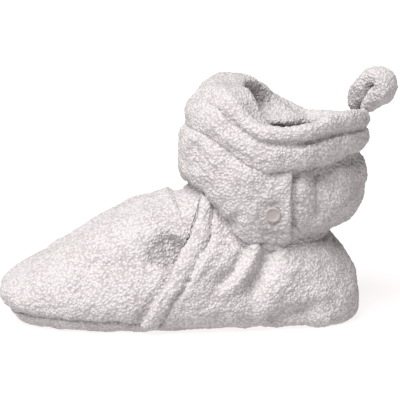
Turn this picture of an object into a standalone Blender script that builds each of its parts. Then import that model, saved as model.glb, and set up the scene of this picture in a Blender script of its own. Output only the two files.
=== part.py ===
"""Soft baby bootie slipper in thick fleece, standing empty on its sole.

The toe points along -X, the heel along +X, and +Z is up. The origin is on the ground, in the
middle of the flat under the sole. Sizes in the tables are millimetres; points become metres
when a mesh is made.
"""

import math

import bpy
import numpy as np

MM = 0.001

# Driving dimensions, in millimetres
LENGTH = 115.2
BALL_WIDTH = 54.4
THROAT_HEIGHT = 43.4
ANKLE_BACK_HEIGHT = 27.4
COLLAR_FRONT_HEIGHT = 76.2
COLLAR_BACK_HEIGHT = 66.0
WALL = 2.5
SEAM_GAP = 0.35
ANKLE_GAP = 0.8
CUFF_GAP = 0.6
SOLE_THICKNESS = 3.0
INSOLE_THICKNESS = 2.0

TOE_X = -LENGTH / 2
HEEL_X = LENGTH / 2
HALF_BALL = BALL_WIDTH / 2

# The foot narrows a little between ball and heel
WAIST_X = 15.0
WAIST_SPREAD = 22.0

# Towards the back the collar's far side tips down and its near side up
LEAN_FROM_X = 26.0
LEAN_TO_X = 48.0

# Where the cuff sags on the near side
DIP_X = 41.0
DIP_SPREAD = 11.0

# How many points lie along half a ring, from toe to heel on one side, and how finely it is traced
UPPER_COLUMNS = 46
SHAFT_COLUMNS = 30
CUFF_COLUMNS = 30
SOLE_COLUMNS = 30
TRACE_STEPS = 400


def table(columns, *rows):
    """A short table as one array for each named column."""
    names = columns.split()
    return {name: np.array([row[i] for row in rows], float) for i, name in enumerate(names)}


# Rings of the foot part, from the seam with the sole up to the ankle seam. toe_gap and heel_gap
# are how far a ring's ends lie inside the toe and the heel, and width_gap how far its side lies
# inside the ball. front, side and back are its heights, and drop is how sharply it falls from
# front to side. toe and heel say how full its ends are (1 is an ellipse, less is squarer).
# waist is how much it narrows behind the ball.
UPPER_RINGS = table(
    "toe_gap heel_gap width_gap front side back drop toe heel waist",
    (4.8, 5.4, 4.0, 5.2, 4.2, 2.7, 1.0, 0.74, 0.60, 1.6),
    (2.0, 2.0, 1.8, 5.0, 3.4, 1.2, 1.0, 0.74, 0.58, 1.0),
    (0.2, 0.2, 0.5, 7.6, 6.0, 3.6, 1.0, 0.74, 0.60, 0.4),
    (0.3, 0.0, 0.0, 11.2, 10.2, 8.8, 1.0, 0.76, 0.66, 0.0),
    (4.0, 0.9, 0.3, 15.2, 14.4, 14.0, 1.0, 0.78, 0.74, 0.0),
    (10.8, 2.8, 1.1, 19.4, 18.6, 18.2, 1.0, 0.80, 0.80, 0.0),
    (19.4, 5.0, 2.3, 24.6, 22.4, 21.6, 1.0, 0.84, 0.86, 0.0),
    (29.0, 6.8, 3.8, 30.9, 24.8, 24.2, 1.1, 0.88, 0.92, 0.0),
    (39.6, 8.2, 5.3, 36.3, 26.0, 25.8, 1.1, 0.92, 0.96, 0.0),
    (50.8, 9.0, 6.6, 40.0, 26.6, 26.8, 1.2, 0.96, 1.00, 0.0),
    (62.4, 9.2, 7.4, THROAT_HEIGHT, 26.8, ANKLE_BACK_HEIGHT, 1.2, 1.00, 1.00, 0.0),
)

# Rings of the leg tube, from the ankle seam up to the cuff. far_drop is the drop on the far side
# and far_low how far back that drop ends (0.15 on the near side). lean is how far the ring tips
# sideways towards the back.
SHAFT_RINGS = table(
    "toe_gap heel_gap width_gap front side back drop far_drop far_low toe heel lean",
    (62.4, 9.2, 7.4, THROAT_HEIGHT, 26.8, ANKLE_BACK_HEIGHT, 1.2, 1.2, 0.15, 1.00, 1.00, 0.0),
    (59.8, 6.0, 5.0, 45.2, 28.8, 29.2, 1.2, 1.2, 0.15, 0.98, 0.98, 0.0),
    (58.4, 1.0, 2.8, 48.6, 32.6, 32.8, 1.3, 1.2, 0.10, 0.95, 0.95, 0.0),
    (58.0, -2.6, 1.6, 53.0, 38.2, 38.4, 1.2, 1.1, 0.00, 0.94, 0.94, 0.5),
    (58.4, -4.2, 1.2, 57.4, 44.2, 44.8, 1.1, 1.0, -0.10, 0.94, 0.94, 1.2),
    (59.3, -4.0, 1.5, 60.8, 48.8, 50.4, 1.0, 1.0, -0.20, 0.94, 0.94, 1.8),
    (60.8, -2.6, 2.2, 63.4, 52.2, 54.4, 1.0, 1.0, -0.30, 0.95, 0.95, 2.5),
)

# Section of the cuff, one ring for each corner: up its outer face, over the rolled edge and
# down inside, back to where it started. dip is how far the near side sags behind its middle.
CUFF_RINGS = table(
    "toe_gap heel_gap width_gap front side back drop far_drop far_low toe heel lean dip",
    (60.4, -3.2, 1.5, 63.4, 52.2, 54.4, 1.0, 1.0, -0.30, 0.95, 0.95, 2.5, 0.0),
    (60.8, -4.6, 0.5, 67.0, 56.4, 57.8, 1.2, 1.0, -0.35, 0.95, 0.95, 3.2, 0.6),
    (62.0, -4.6, 0.9, 70.4, 60.3, 61.0, 1.5, 1.0, -0.35, 0.95, 0.95, 4.0, 2.2),
    (63.2, -4.0, 1.4, 72.2, 62.2, 62.2, 1.7, 1.0, -0.35, 0.95, 0.95, 4.6, 3.8),
    (65.0, -4.8, 0.5, 73.8, 64.1, 63.8, 1.9, 1.1, -0.35, 0.95, 0.95, 5.2, 4.0),
    (69.0, -3.2, 2.0, 76.0, 66.2, 65.8, 2.8, 1.3, -0.40, 0.96, 0.96, 6.0, 4.2),
    (76.0, -0.8, 4.4, COLLAR_FRONT_HEIGHT, 66.2, COLLAR_BACK_HEIGHT, 4.5, 1.5, -0.40, 0.98, 0.98, 6.0, 4.2),
    (79.0, 1.4, 6.2, 74.6, 64.4, 64.0, 4.0, 1.5, -0.40, 1.00, 1.00, 5.5, 4.0),
    (78.0, 1.8, 6.4, 70.2, 60.4, 60.4, 2.6, 1.4, -0.35, 1.00, 1.00, 4.4, 3.0),
    (71.5, 0.8, 5.6, 66.2, 55.8, 57.0, 1.2, 1.0, -0.35, 0.98, 0.98, 3.2, 1.2),
    (64.2, 0.2, 4.6, 63.3, 52.2, 54.4, 1.0, 1.0, -0.30, 0.96, 0.96, 2.5, 0.0),
)

# Rings of the sole: ground edge, side and rim, then down inside the rim to its floor
SOLE_RINGS = table(
    "toe_gap heel_gap width_gap front side back drop toe heel waist",
    (8.4, 7.4, 7.0, 0.0, 0.0, 0.0, 1.0, 0.74, 0.62, 1.6),
    (4.8, 4.8, 4.4, 1.3, 0.9, 0.5, 1.0, 0.74, 0.60, 1.6),
    (3.6, 4.4, 3.2, 3.4, 2.5, 1.4, 1.0, 0.74, 0.60, 1.6),
    (4.8, 5.4, 4.0, 4.75, 3.75, 2.25, 1.0, 0.74, 0.60, 1.6),
    (8.2, 9.2, 7.6, 4.75, 3.75, 2.25, 1.0, 0.74, 0.60, 1.6),
    (9.4, 10.6, 8.8, SOLE_THICKNESS, SOLE_THICKNESS, SOLE_THICKNESS, 1.0, 0.74, 0.60, 1.6),
)

# Rings of the insole, bottom edge to top edge
INSOLE_FLOOR = SOLE_THICKNESS + SEAM_GAP
INSOLE_TOP = INSOLE_FLOOR + INSOLE_THICKNESS
INSOLE_RINGS = table(
    "toe_gap heel_gap width_gap front side back drop toe heel waist",
    (10.4, 11.0, 9.6, INSOLE_FLOOR, INSOLE_FLOOR, INSOLE_FLOOR, 1.0, 0.74, 0.60, 1.6),
    (9.6, 10.2, 8.8, INSOLE_FLOOR + 0.9, INSOLE_FLOOR + 0.9, INSOLE_FLOOR + 0.9, 1.0, 0.74, 0.60, 1.6),
    (9.6, 10.2, 8.8, INSOLE_TOP - 0.5, INSOLE_TOP - 0.5, INSOLE_TOP - 0.5, 1.0, 0.74, 0.60, 1.6),
    (10.6, 11.2, 9.8, INSOLE_TOP, INSOLE_TOP, INSOLE_TOP, 1.0, 0.74, 0.60, 1.6),
)

# Front edge of the side panel, where it laps over the vamp, as seen from the side
WELT_LINE = table(
    "z x",
    (2.0, -15.0),
    (7.0, -12.8),
    (11.5, -10.8),
    (14.5, -7.6),
    (19.0, -4.6),
    (23.5, -1.7),
    (27.5, 1.0),
    (31.0, 3.5),
    (36.0, 5.6),
    (44.0, 7.6),
)
WELT_STEP = 1.3
WELT_GROOVE = 0.9
# Columns kept at a fixed distance behind the panel's edge: column, distance
WELT_PINS = ((13, -2.6), (14, -0.8), (15, 0.8), (17, 4.6), (29, 24.0))

# Edge of the leg tube's front flap, where it laps over the back, as seen from the near side
FLAP_LINE = table("z x", (26.0, 34.6), (34.0, 34.2), (45.0, 33.8), (56.0, 34.4))
FLAP_STEP = 1.4
FLAP_PINS = ((15, -0.8), (16, 0.8))

# Folds of the cloth, as soft troughs (negative) and ridges (positive): which side they lie on
# (-1 near, 1 far, 0 both), height, half width, how much of each end fades out, and the path
# seen from the side as (x, z) points
UPPER_FOLDS = (
    ("hem stitches", 0, -0.5, 1.3, 0.0, 0.1, ((-7.6, 5), (-3.6, 14.5), (0.4, 21), (4.4, 27.5), (7.4, 33))),
    ("first ridge", 0, 1.0, 2.2, 0.1, 0.3, ((14, 29), (9, 25), (3, 19.5), (-1, 14))),
    ("first trough", 0, -1.8, 2.2, 0.0, 0.4, ((18.5, 27), (15.5, 21), (11.5, 18), (8.5, 14))),
    ("second ridge", 0, 1.0, 2.2, 0.0, 0.4, ((22, 27), (19, 22.5), (15, 18), (10, 12))),
    ("second trough", 0, -2.2, 2.4, 0.0, 0.4, ((26.5, 26), (25, 21), (23, 17), (19, 12), (16, 9))),
    ("heel roll", 0, 0.9, 4.0, 0.3, 0.4, ((33, 23), (32, 15), (28, 9))),
    ("heel crease", 0, -1.3, 2.4, 0.1, 0.5, ((31.5, 3), (36.5, 6.5), (41.5, 8), (46, 8.5))),
    ("vamp hollow", 0, -2.2, 5.5, 0.3, 0.5, ((-3.0, 25), (-8.0, 23.5), (-14, 22))),
    ("throat hollow", 0, -2.0, 3.6, 0.0, 0.4, ((2.6, 41), (-2.5, 39))),
    ("toe hollow", 0, -0.9, 6.0, 0.5, 0.5, ((-36, 17), (-28, 20), (-21, 19))),
)
SHAFT_FOLDS = (
    ("flap stitch", -1, -1.3, 2.2, 0.1, 0.2, ((44.4, 53), (43.8, 43), (43.4, 31))),
    ("hollow under the cuff", 0, -1.7, 5.5, 0.3, 0.3, ((38, 51.5), (45, 50.5), (52, 51))),
    ("front crease", 0, -1.1, 2.0, 0.3, 0.3, ((4.8, 61), (4.2, 55), (4.8, 49))),
    ("front pucker", 0, -1.2, 2.0, 0.0, 0.5, ((15, 33), (17, 37), (18.5, 41))),
    ("side pucker", 0, -1.3, 2.2, 0.0, 0.5, ((27, 30), (24.5, 36), (22.5, 40))),
    ("back roll", 0, 1.0, 5.0, 0.4, 0.4, ((52, 45), (53, 38), (51, 34))),
    ("side swell", 0, 0.9, 6.0, 0.4, 0.4, ((12, 50), (18, 48), (26, 47))),
)

# Pull loop: a strip folded back on itself and turned about the upright, its ends side by side
LOOP_TURN = math.radians(-38)
LOOP_BASE = (60.3, 0.0, COLLAR_BACK_HEIGHT + CUFF_GAP + SEAM_GAP)
LOOP_TIP = 0.22
LOOP_PATH = table(
    "out up thick wide",
    (-1.9, 0.6, 3.2, 7.4),
    (-2.1, 2.9, 4.0, 8.2),
    (-1.1, 5.8, 5.1, 9.0),
    (0.7, 8.5, 5.6, 9.4),
    (2.8, 11.1, 5.6, 9.4),
    (5.6, 12.2, 5.6, 9.4),
    (8.1, 11.1, 5.6, 9.4),
    (8.7, 8.4, 5.6, 9.4),
    (7.1, 5.6, 5.1, 9.0),
    (4.6, 3.1, 4.0, 8.2),
    (2.0, 0.6, 3.2, 7.4),
)
LOOP_STATIONS = 27

# Press stud cap, sunk in the pile of the flap on the near side
STUD_RADIUS = 2.7
STUD_HEIGHT = 1.2
STUD_X = 28.2
STUD_Z = 38.6
STUD_DIMPLE = 1.0


def smoothstep(low, high, value):
    t = np.clip((value - low) / (high - low), 0.0, 1.0)
    return t * t * (3.0 - 2.0 * t)


def through(values, at, closed=False):
    """Catmull-Rom curve through values, read at positions counted in rows."""
    count = len(values)
    start = np.floor(at).astype(int)
    if not closed:
        start = np.clip(start, 0, count - 2)
    part = at - start

    def row(offset):
        index = start + offset
        if closed:
            return values[index % count]
        if offset < 0:
            return np.where(index < 0, 2 * values[0] - values[1], values[np.maximum(index, 0)])
        last = count - 1
        return np.where(index > last, 2 * values[last] - values[last - 1], values[np.minimum(index, last)])

    before, first, second, after = row(-1), row(0), row(1), row(2)
    return 0.5 * (
        2 * first
        + (second - before) * part
        + (2 * before - 5 * first + 4 * second - after) * part**2
        + (3 * first - before - 3 * second + after) * part**3
    )


def half_ring(ring, angle, far):
    """One side of a ring, from toe (angle 0) to heel (angle pi)."""
    front_x = TOE_X + ring["toe_gap"]
    back_x = HEEL_X - ring["heel_gap"]
    along, across = np.cos(angle), np.sin(angle)
    corner = ring["toe"] + (ring["heel"] - ring["toe"]) * (1 - along) / 2
    x = (front_x + back_x) / 2 - (back_x - front_x) / 2 * np.sign(along) * np.abs(along) ** corner
    half_width = HALF_BALL - ring["width_gap"]
    y = half_width * across**corner
    narrowing = ring.get("waist", 0.0) / half_width
    y = y * (1 - narrowing * np.exp(-(((x - WAIST_X) / WAIST_SPREAD) ** 2)))
    drop = ring.get("far_drop", ring["drop"]) if far else ring["drop"]
    low = ring.get("far_low", 0.15) if far else 0.15
    to_front = smoothstep(low, 0.95, along) ** drop
    to_back = smoothstep(0.0, 1.0, -along)
    z = ring["side"] + (ring["front"] - ring["side"]) * to_front
    z = z + (ring["back"] - ring["side"]) * to_back
    side = 1 if far else -1
    tip = ring.get("lean", 0.0) * smoothstep(LEAN_FROM_X, LEAN_TO_X, x) * y / HALF_BALL
    if not far:
        sag = ring.get("dip", 0.0) * smoothstep(0.0, 12.0, y)
        z = z - sag * np.exp(-(((x - DIP_X) / DIP_SPREAD) ** 2))
    return np.stack([x, side * y, z - side * tip], axis=-1)


def spaced(points, columns, line, pins):
    """Points at even steps along a half ring; each pin holds a column at a distance behind a line."""
    steps = np.linalg.norm(np.diff(points, axis=0), axis=1)
    run = np.concatenate([[0.0], np.cumsum(steps)])
    known_columns, known_runs = [0.0], [0.0]
    if pins:
        behind = points[:, 0] - np.interp(points[:, 2], line["z"], line["x"])
        for column, distance in pins:
            known_columns.append(float(column))
            known_runs.append(run[int(np.argmax(behind > distance))])
    known_columns.append(float(columns))
    known_runs.append(run[-1])
    wanted = np.interp(np.arange(columns + 1), known_columns, known_runs)
    return np.stack([np.interp(wanted, run, points[:, i]) for i in range(3)], axis=-1)


def loft(rings, levels, columns, closed=False, line=None, near_pins=(), far_pins=()):
    """Full rings, a row for each level, starting at the toe and going round by the near side."""
    angle = np.linspace(0.0, math.pi, TRACE_STEPS)
    rows = []
    for level in levels:
        ring = {name: through(values, np.array(level), closed) for name, values in rings.items()}
        near = spaced(half_ring(ring, angle, False), columns, line, near_pins)
        far = spaced(half_ring(ring, angle, True), columns, line, far_pins)
        rows.append(np.concatenate([near, far[-2:0:-1]]))
    return np.array(rows)


def normals_of(rows, closed=False):
    """Unit normals of a loft, pointing away from its middle."""
    around = np.roll(rows, -1, axis=1) - np.roll(rows, 1, axis=1)
    if closed:
        along = np.roll(rows, -1, axis=0) - np.roll(rows, 1, axis=0)
    else:
        along = np.gradient(rows, axis=0)
    normal = np.cross(around, along)
    return normal / np.maximum(np.linalg.norm(normal, axis=-1, keepdims=True), 1e-9)


def path_distance(points, path):
    """Distance in the side view from each point to a path, and how far along it the nearest place is."""
    flat = points[..., [0, 2]]
    path = np.array(path, float)
    lengths = np.linalg.norm(np.diff(path, axis=0), axis=1)
    before = np.concatenate([[0.0], np.cumsum(lengths)])
    best = np.full(flat.shape[:-1], 1e9)
    place = np.zeros(flat.shape[:-1])
    for i, length in enumerate(lengths):
        direction = (path[i + 1] - path[i]) / length
        t = np.clip((flat - path[i]) @ direction, 0, length)
        away = np.linalg.norm(flat - path[i] - t[..., None] * direction, axis=-1)
        nearer = away < best
        best = np.where(nearer, away, best)
        place = np.where(nearer, (before[i] + t) / before[-1], place)
    return best, place


def folded(points, folds):
    """Height of all folds at each point."""
    height = np.zeros(points.shape[:-1])
    for _name, side, rise, half_width, fade_in, fade_out, path in folds:
        away, place = path_distance(points, path)
        shape = rise * np.exp(-((away / half_width) ** 2))
        shape = shape * smoothstep(-0.01, fade_in + 0.01, place) * smoothstep(1.01, 0.99 - fade_out, place)
        if side:
            shape = shape * smoothstep(0.0, 4.0, points[..., 1] * side)
        height += shape
    return height


def lap(points, line, step, groove):
    """A panel's edge: raised behind the line, with a groove in front of it."""
    behind = points[..., 0] - np.interp(points[..., 2], line["z"], line["x"])
    return step * smoothstep(-0.7, 0.8, behind) - groove * np.exp(-(((behind + 1.6) / 1.4) ** 2))


def inward(rows, normals, share, near_bottom, near_top):
    """Direction from the outer face to the inner one: against the normal, level near the seams."""
    middle_x = (rows[..., 0].min(axis=1) + rows[..., 0].max(axis=1)) / 2
    middle = np.stack([middle_x, 0 * middle_x, 0 * middle_x], axis=-1)[:, None, :]
    flat = (middle - rows) * (1, 1, 0)
    flat = flat / np.linalg.norm(flat, axis=-1, keepdims=True)
    level = np.maximum(smoothstep(near_bottom, 0.0, share), smoothstep(1 - near_top, 1.0, share))
    direction = -normals * (1 - level[..., None]) + flat * level[..., None]
    return direction / np.linalg.norm(direction, axis=-1, keepdims=True)


def plain_material(name, colour, roughness):
    material = bpy.data.materials.new(name)
    material.use_nodes = True
    surface = material.node_tree.nodes["Principled BSDF"]
    surface.inputs["Base Color"].default_value = (*colour, 1.0)
    surface.inputs["Roughness"].default_value = roughness
    surface.inputs["Metallic"].default_value = 0.0
    return material


def solid(name, rows, material, closed=True, capped=False):
    """A named object from rings of points: a closed ring of rings, or a stack with flat caps."""
    count, around = rows.shape[:2]
    faces = []
    for i in range(count if closed else count - 1):
        here, above = i * around, (i + 1) % count * around
        for j in range(around):
            k = (j + 1) % around
            faces.append((here + j, here + k, above + k, above + j))
    if capped:
        faces.append(tuple(reversed(range(around))))
        faces.append(tuple(range((count - 1) * around, count * around)))
    mesh = bpy.data.meshes.new(name)
    mesh.from_pydata((rows.reshape(-1, 3) * MM).tolist(), [], faces)
    mesh.update()
    if signed_volume(mesh) < 0:
        mesh.flip_normals()
    mesh.materials.append(material)
    mesh.shade_smooth()
    mesh.set_sharp_from_angle(angle=math.radians(50))
    part = bpy.data.objects.new(name, mesh)
    bpy.context.scene.collection.objects.link(part)
    return part


def signed_volume(mesh):
    mesh.calc_loop_triangles()
    points = np.empty(len(mesh.vertices) * 3)
    mesh.vertices.foreach_get("co", points)
    corners = np.empty(len(mesh.loop_triangles) * 3, np.int32)
    mesh.loop_triangles.foreach_get("vertices", corners)
    triangles = points.reshape(-1, 3)[corners.reshape(-1, 3)]
    return np.linalg.det(triangles).sum() / 6


def walled(outer, inner):
    """Outer rows up, inner rows down: one closed wall."""
    return np.concatenate([outer, inner[::-1]])


def upper_wall(count):
    """Outer and inner face of the foot part on one set of rows."""
    levels = np.linspace(0.0, len(UPPER_RINGS["front"]) - 1.0, count)
    rows = loft(UPPER_RINGS, levels, UPPER_COLUMNS, line=WELT_LINE, near_pins=WELT_PINS, far_pins=WELT_PINS)
    normals = normals_of(rows)
    share = levels[:, None] / levels[-1]
    relief = folded(rows, UPPER_FOLDS) + lap(rows, WELT_LINE, WELT_STEP, WELT_GROOVE)
    raised = np.maximum(relief, 0.0) * smoothstep(1.0, 0.72, share)
    sunk = np.minimum(relief, 0.0) * smoothstep(1.0, 0.93, share)
    relief = (raised + sunk) * smoothstep(0.0, 0.12, share)
    outer = rows + normals * relief[..., None]
    inner = rows + inward(rows, normals, share, 0.15, 0.12) * WALL
    inner = inner + normals * (0.7 * np.minimum(relief, 0.0))[..., None]
    return outer, inner


def make_upper(cloth):
    """Vamp and side panel as one hollow wall, open at the ankle and under the foot."""
    return solid("upper", walled(upper_wall(19)[0], upper_wall(9)[1]), cloth)


def stud_frame():
    """Where the press stud sits on the smooth leg tube, and which way is out."""
    levels = np.linspace(0.0, len(SHAFT_RINGS["front"]) - 1.0, 61)
    rows = loft(SHAFT_RINGS, levels, 120)
    normals = normals_of(rows)
    away = np.hypot(rows[..., 0] - STUD_X, rows[..., 2] - STUD_Z) + 1000 * (rows[..., 1] > 0)
    nearest = np.unravel_index(np.argmin(away), away.shape)
    return rows[nearest], normals[nearest]


def shaft_wall(count):
    """Outer and inner face of the leg tube on one set of rows."""
    levels = np.linspace(0.0, len(SHAFT_RINGS["front"]) - 1.0, count)
    rows = loft(SHAFT_RINGS, levels, SHAFT_COLUMNS, line=FLAP_LINE, near_pins=FLAP_PINS)
    normals = normals_of(rows)
    share = levels[:, None] / levels[-1]
    free = smoothstep(0.0, 0.16, share) * smoothstep(1.0, 0.9, share)
    near = smoothstep(6.0, 12.0, -rows[..., 1])
    stud = np.linalg.norm(rows - stud_frame()[0], axis=-1)
    relief = folded(rows, SHAFT_FOLDS) - lap(rows, FLAP_LINE, FLAP_STEP, 0.0) * near
    relief = relief * free * smoothstep(3.0, 7.0, stud) - STUD_DIMPLE * smoothstep(6.0, 3.0, stud)
    outer = rows + normals * relief[..., None]
    inner = rows + inward(rows, normals, share, 0.2, 0.15) * WALL
    inner = inner + normals * (0.7 * np.minimum(relief, 0.0))[..., None]
    around = np.roll(rows, -1, axis=1) - np.roll(rows, 1, axis=1)
    lift = np.cross(around[0], normals[0])
    lift = lift / np.linalg.norm(lift, axis=-1, keepdims=True)
    lift = lift * np.sign(lift[:, 2:]) * ANKLE_GAP * smoothstep(0.5, 0.0, share)[..., None]
    return outer + lift, inner + lift


def make_shaft(cloth):
    """Leg tube with its lapped flap, from the ankle seam to the cuff."""
    return solid("shaft", walled(shaft_wall(13)[0], shaft_wall(8)[1]), cloth)


def make_stud(cap):
    """Low round cap of a press stud, lying on the flap."""
    centre, out = stud_frame()
    along = np.array([1.0, 0.0, 0.0]) - out * out[0]
    along = along / np.linalg.norm(along)
    up = np.cross(out, along)
    turn = np.linspace(0.0, 2 * math.pi, 24, endpoint=False)
    circle = np.cos(turn)[:, None] * along + np.sin(turn)[:, None] * up
    profile = ((0.92, 0.0), (1.0, 0.35), (0.97, 0.75), (0.82, 0.95), (0.45, 1.0))
    base = centre + out * (SEAM_GAP - STUD_DIMPLE + 0.15)
    rows = [base + out * (STUD_HEIGHT * high) + circle * (STUD_RADIUS * wide) for wide, high in profile]
    return solid("stud", np.array(rows), cap, closed=False, capped=True)


def make_cuff(cloth):
    """Turned-down hem with a fat rolled edge, one closed section swept round the collar."""
    levels = np.arange(len(CUFF_RINGS["front"]), dtype=float)
    rows = loft(CUFF_RINGS, levels, CUFF_COLUMNS, closed=True)
    rows[..., 2] += CUFF_GAP
    return solid("cuff", rows, cloth)


def make_sole(cloth):
    """Soft sole: a flat pad whose edge turns up to meet the upper."""
    levels = np.arange(len(SOLE_RINGS["front"]), dtype=float)
    return solid("sole", loft(SOLE_RINGS, levels, SOLE_COLUMNS), cloth, closed=False, capped=True)


def make_insole(cloth):
    levels = np.arange(len(INSOLE_RINGS["front"]), dtype=float)
    rows = loft(INSOLE_RINGS, levels, SOLE_COLUMNS)
    return solid("insole", rows, cloth, closed=False, capped=True)


def make_pull_loop(cloth):
    """Strip of doubled cloth, its two ends side by side on the cuff at the back."""
    at = np.linspace(0.0, len(LOOP_PATH["out"]) - 1.0, LOOP_STATIONS)
    out, up, thick, wide = (through(LOOP_PATH[name], at)[:, None] for name in ("out", "up", "thick", "wide"))
    tangent = np.stack([np.gradient(out[:, 0]), np.gradient(up[:, 0])], axis=-1)
    tangent /= np.linalg.norm(tangent, axis=-1, keepdims=True)
    corner = np.linspace(0.0, 2 * math.pi, 12, endpoint=False) + math.pi / 12
    across = np.sign(np.cos(corner)) * np.abs(np.cos(corner)) ** 0.6 * wide / 2
    through_strip = np.sign(np.sin(corner)) * np.abs(np.sin(corner)) ** 0.8 * thick / 2
    plane_out = out - tangent[:, 1:] * through_strip
    plane_up = up + tangent[:, :1] * through_strip
    x = LOOP_BASE[0] + plane_out * math.cos(LOOP_TURN) - across * math.sin(LOOP_TURN)
    y = LOOP_BASE[1] + plane_out * math.sin(LOOP_TURN) + across * math.cos(LOOP_TURN)
    z = LOOP_BASE[2] + plane_up - LOOP_TIP * y * smoothstep(5.0, 0.5, plane_up)
    rows = np.stack([x, y, z], axis=-1)
    return solid("pull_loop", rows, cloth, closed=False, capped=True)


def remove_startup_objects():
    for old in list(bpy.data.objects):
        bpy.data.objects.remove(old)


def main():
    remove_startup_objects()
    outer_cloth = plain_material("outer fleece", (0.74, 0.71, 0.69), 0.95)
    lining_cloth = plain_material("lining fleece", (0.76, 0.73, 0.71), 0.95)
    cap_plastic = plain_material("stud plastic", (0.70, 0.67, 0.65), 0.6)
    make_sole(outer_cloth)
    make_insole(lining_cloth)
    make_upper(outer_cloth)
    make_shaft(outer_cloth)
    make_cuff(outer_cloth)
    make_pull_loop(outer_cloth)
    make_stud(cap_plastic)


main()
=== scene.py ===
"""Baby's soft fleece bootie slipper, standing empty on its sole in plain studio light.

One section for each piece of the shoe, from the sole up. The toe points along -X, the near side is
-Y, and sizes are millimetres until a mesh is made.
"""

import itertools
import math

import bpy
import numpy as np
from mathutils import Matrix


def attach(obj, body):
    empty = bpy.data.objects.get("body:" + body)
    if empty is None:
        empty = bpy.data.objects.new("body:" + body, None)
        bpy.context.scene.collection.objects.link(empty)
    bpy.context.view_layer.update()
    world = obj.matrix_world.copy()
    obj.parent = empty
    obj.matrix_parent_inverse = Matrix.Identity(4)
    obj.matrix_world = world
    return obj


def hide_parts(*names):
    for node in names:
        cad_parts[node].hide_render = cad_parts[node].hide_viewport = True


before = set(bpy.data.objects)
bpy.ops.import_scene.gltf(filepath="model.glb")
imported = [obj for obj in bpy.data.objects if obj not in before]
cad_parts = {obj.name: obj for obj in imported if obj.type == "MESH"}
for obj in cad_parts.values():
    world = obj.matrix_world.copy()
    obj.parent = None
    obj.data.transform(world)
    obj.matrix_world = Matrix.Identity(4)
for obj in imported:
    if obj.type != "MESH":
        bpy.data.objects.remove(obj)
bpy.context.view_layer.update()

# Sole
# The same soft fleece as the upper, cut to the outline of a baby's foot, its edge turned up all
# round and sewn to the upper, pile outwards.
MM = 0.001
TOE_X = -57.6
HEEL_X = 57.6
HALF_BALL = 27.2
WAIST_X, WAIST_REACH = 15.0, 22.0
LEAN_START, LEAN_END = 26.0, 48.0
DIP_X, DIP_REACH = 41.0, 11.0
FRONT_STARTS = 0.15
RING_POINTS = 400


def table(columns, *rows):
    """A short table as one array for each named column."""
    names = columns.split()
    return {name: np.array([row[i] for row in rows], float) for i, name in enumerate(names)}


# Every ring runs round the foot. Its columns are how far in it lies at the toe, the heel and the side,
# its height in front, at the side and at the back, how late it rises to the front, how square its
# ends are, and how much it narrows at the waist.
SOLE_RINGS = table(
    "toe_gap heel_gap width_gap front side back drop toe heel waist",
    (8.4, 7.4, 7.0, 0.0, 0.0, 0.0, 1.0, 0.74, 0.62, 1.6),
    (4.8, 4.8, 4.4, 1.3, 0.9, 0.5, 1.0, 0.74, 0.60, 1.6),
    (3.2, 4.2, 2.8, 3.9, 2.2, 1.4, 0.10, 0.74, 0.60, 1.6),
    (4.8, 5.4, 4.0, 5.6, 3.6, 2.4, 0.08, 0.74, 0.60, 1.6),
    (8.2, 9.2, 7.6, 4.75, 3.4, 2.25, 0.35, 0.74, 0.60, 1.6),
    (9.4, 10.6, 8.8, 3.0, 3.0, 3.0, 1.0, 0.74, 0.60, 1.6),
)
SOLE_COLUMNS = 500
UNDER_RINGS = 26
OVER_RINGS = 5
TURNED_IN_ROWS = 5
PRESSED_PILE = 0.6
# How much the pile stands up and down from the cloth
PILE_DEPTH = 0.6
SHORT_PILE = 0.55
LINING_PILE = 0.5
SEAM_PILE = 0.4
TUFT_SPACING = 1.5
TUFT_SEED = 11
CLOTH_SWELL = 0.35


def smoothstep(low, high, value):
    """An even rise from 0 at low to 1 at high."""
    t = np.clip((value - low) / (high - low), 0.0, 1.0)
    return t * t * (3.0 - 2.0 * t)


def swell(value, middle, reach):
    """A smooth bump, 1 in the middle and nearly gone at twice its reach."""
    return np.exp(-(((value - middle) / reach) ** 2))


def through(values, at, closed=False):
    """Catmull-Rom curve through values, read at positions counted in rows."""
    count = len(values)
    start = np.floor(at).astype(int)
    if not closed:
        start = np.clip(start, 0, count - 2)
    part = at - start

    def row(offset):
        index = start + offset
        if closed:
            return values[index % count]
        if offset < 0:
            return np.where(index < 0, 2 * values[0] - values[1], values[np.maximum(index, 0)])
        last = count - 1
        return np.where(index > last, 2 * values[last] - values[last - 1], values[np.minimum(index, last)])

    before, first, second, after = row(-1), row(0), row(1), row(2)
    return 0.5 * (
        2 * first
        + (second - before) * part
        + (2 * before - 5 * first + 4 * second - after) * part**2
        + (3 * first - before - 3 * second + after) * part**3
    )


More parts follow.
